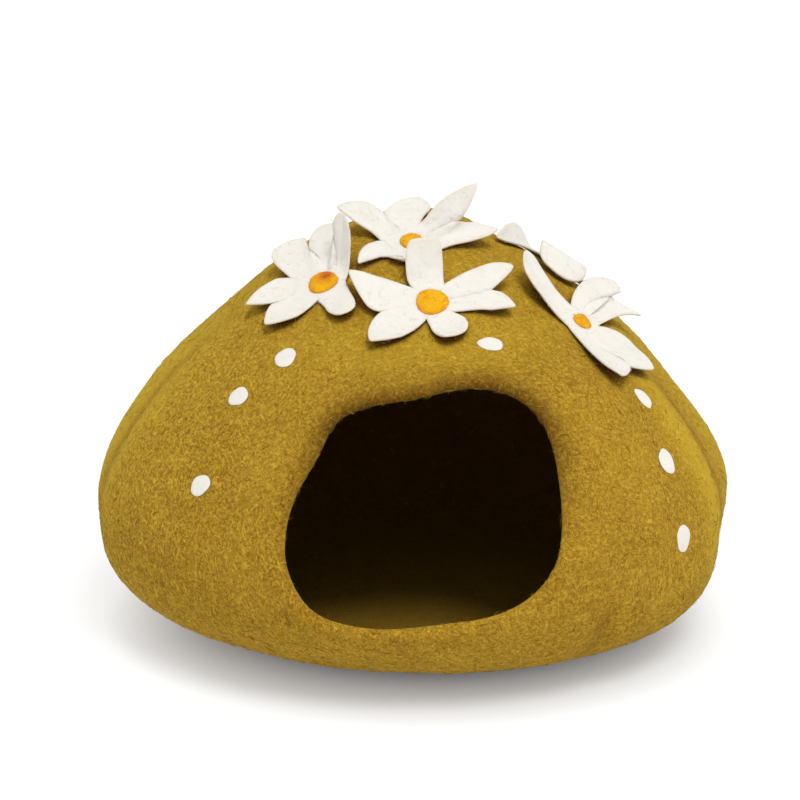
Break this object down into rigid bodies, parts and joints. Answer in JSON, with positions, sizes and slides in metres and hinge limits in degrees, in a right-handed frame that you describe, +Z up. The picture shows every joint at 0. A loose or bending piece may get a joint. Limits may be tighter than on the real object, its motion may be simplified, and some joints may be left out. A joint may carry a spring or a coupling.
{
  "type": "felt cat cave",
  "caption": "Round pet cave of thick mustard wool felt with a wide rounded mouth at the front, trimmed with off-white felt flowers and small felted dots.",
  "frame": {"origin": "middle of the flat underside, on the surface it stands on, under the crown", "axes": "+Z up, the mouth faces -Y, +X to the right seen from the front"},
  "size_m": [0.4631, 0.4594, 0.3218],
  "materials": {
    "wool_mustard": "fuzzy wet-felted wool, matt",
    "wool_white": "soft wool felt, matt",
    "wool_orange": "needle-felted wool, matt"
  },
  "bodies": {
    "root": {"pod": "wool_mustard", "blossom_left": "wool_white", "blossom_crown": "wool_white", "blossom_front": "wool_white", "blossom_right": "wool_white", "blossom_back": "wool_white", "centre_left": "wool_orange", "centre_crown": "wool_orange", "centre_front": "wool_orange", "centre_right": "wool_orange", "centre_back": "wool_orange", "dot_1": "wool_white", "dot_2": "wool_white", "dot_3": "wool_white", "dot_4": "wool_white", "dot_5": "wool_white", "dot_6": "wool_white", "dot_7": "wool_white"}
  },
  "joints": []
}
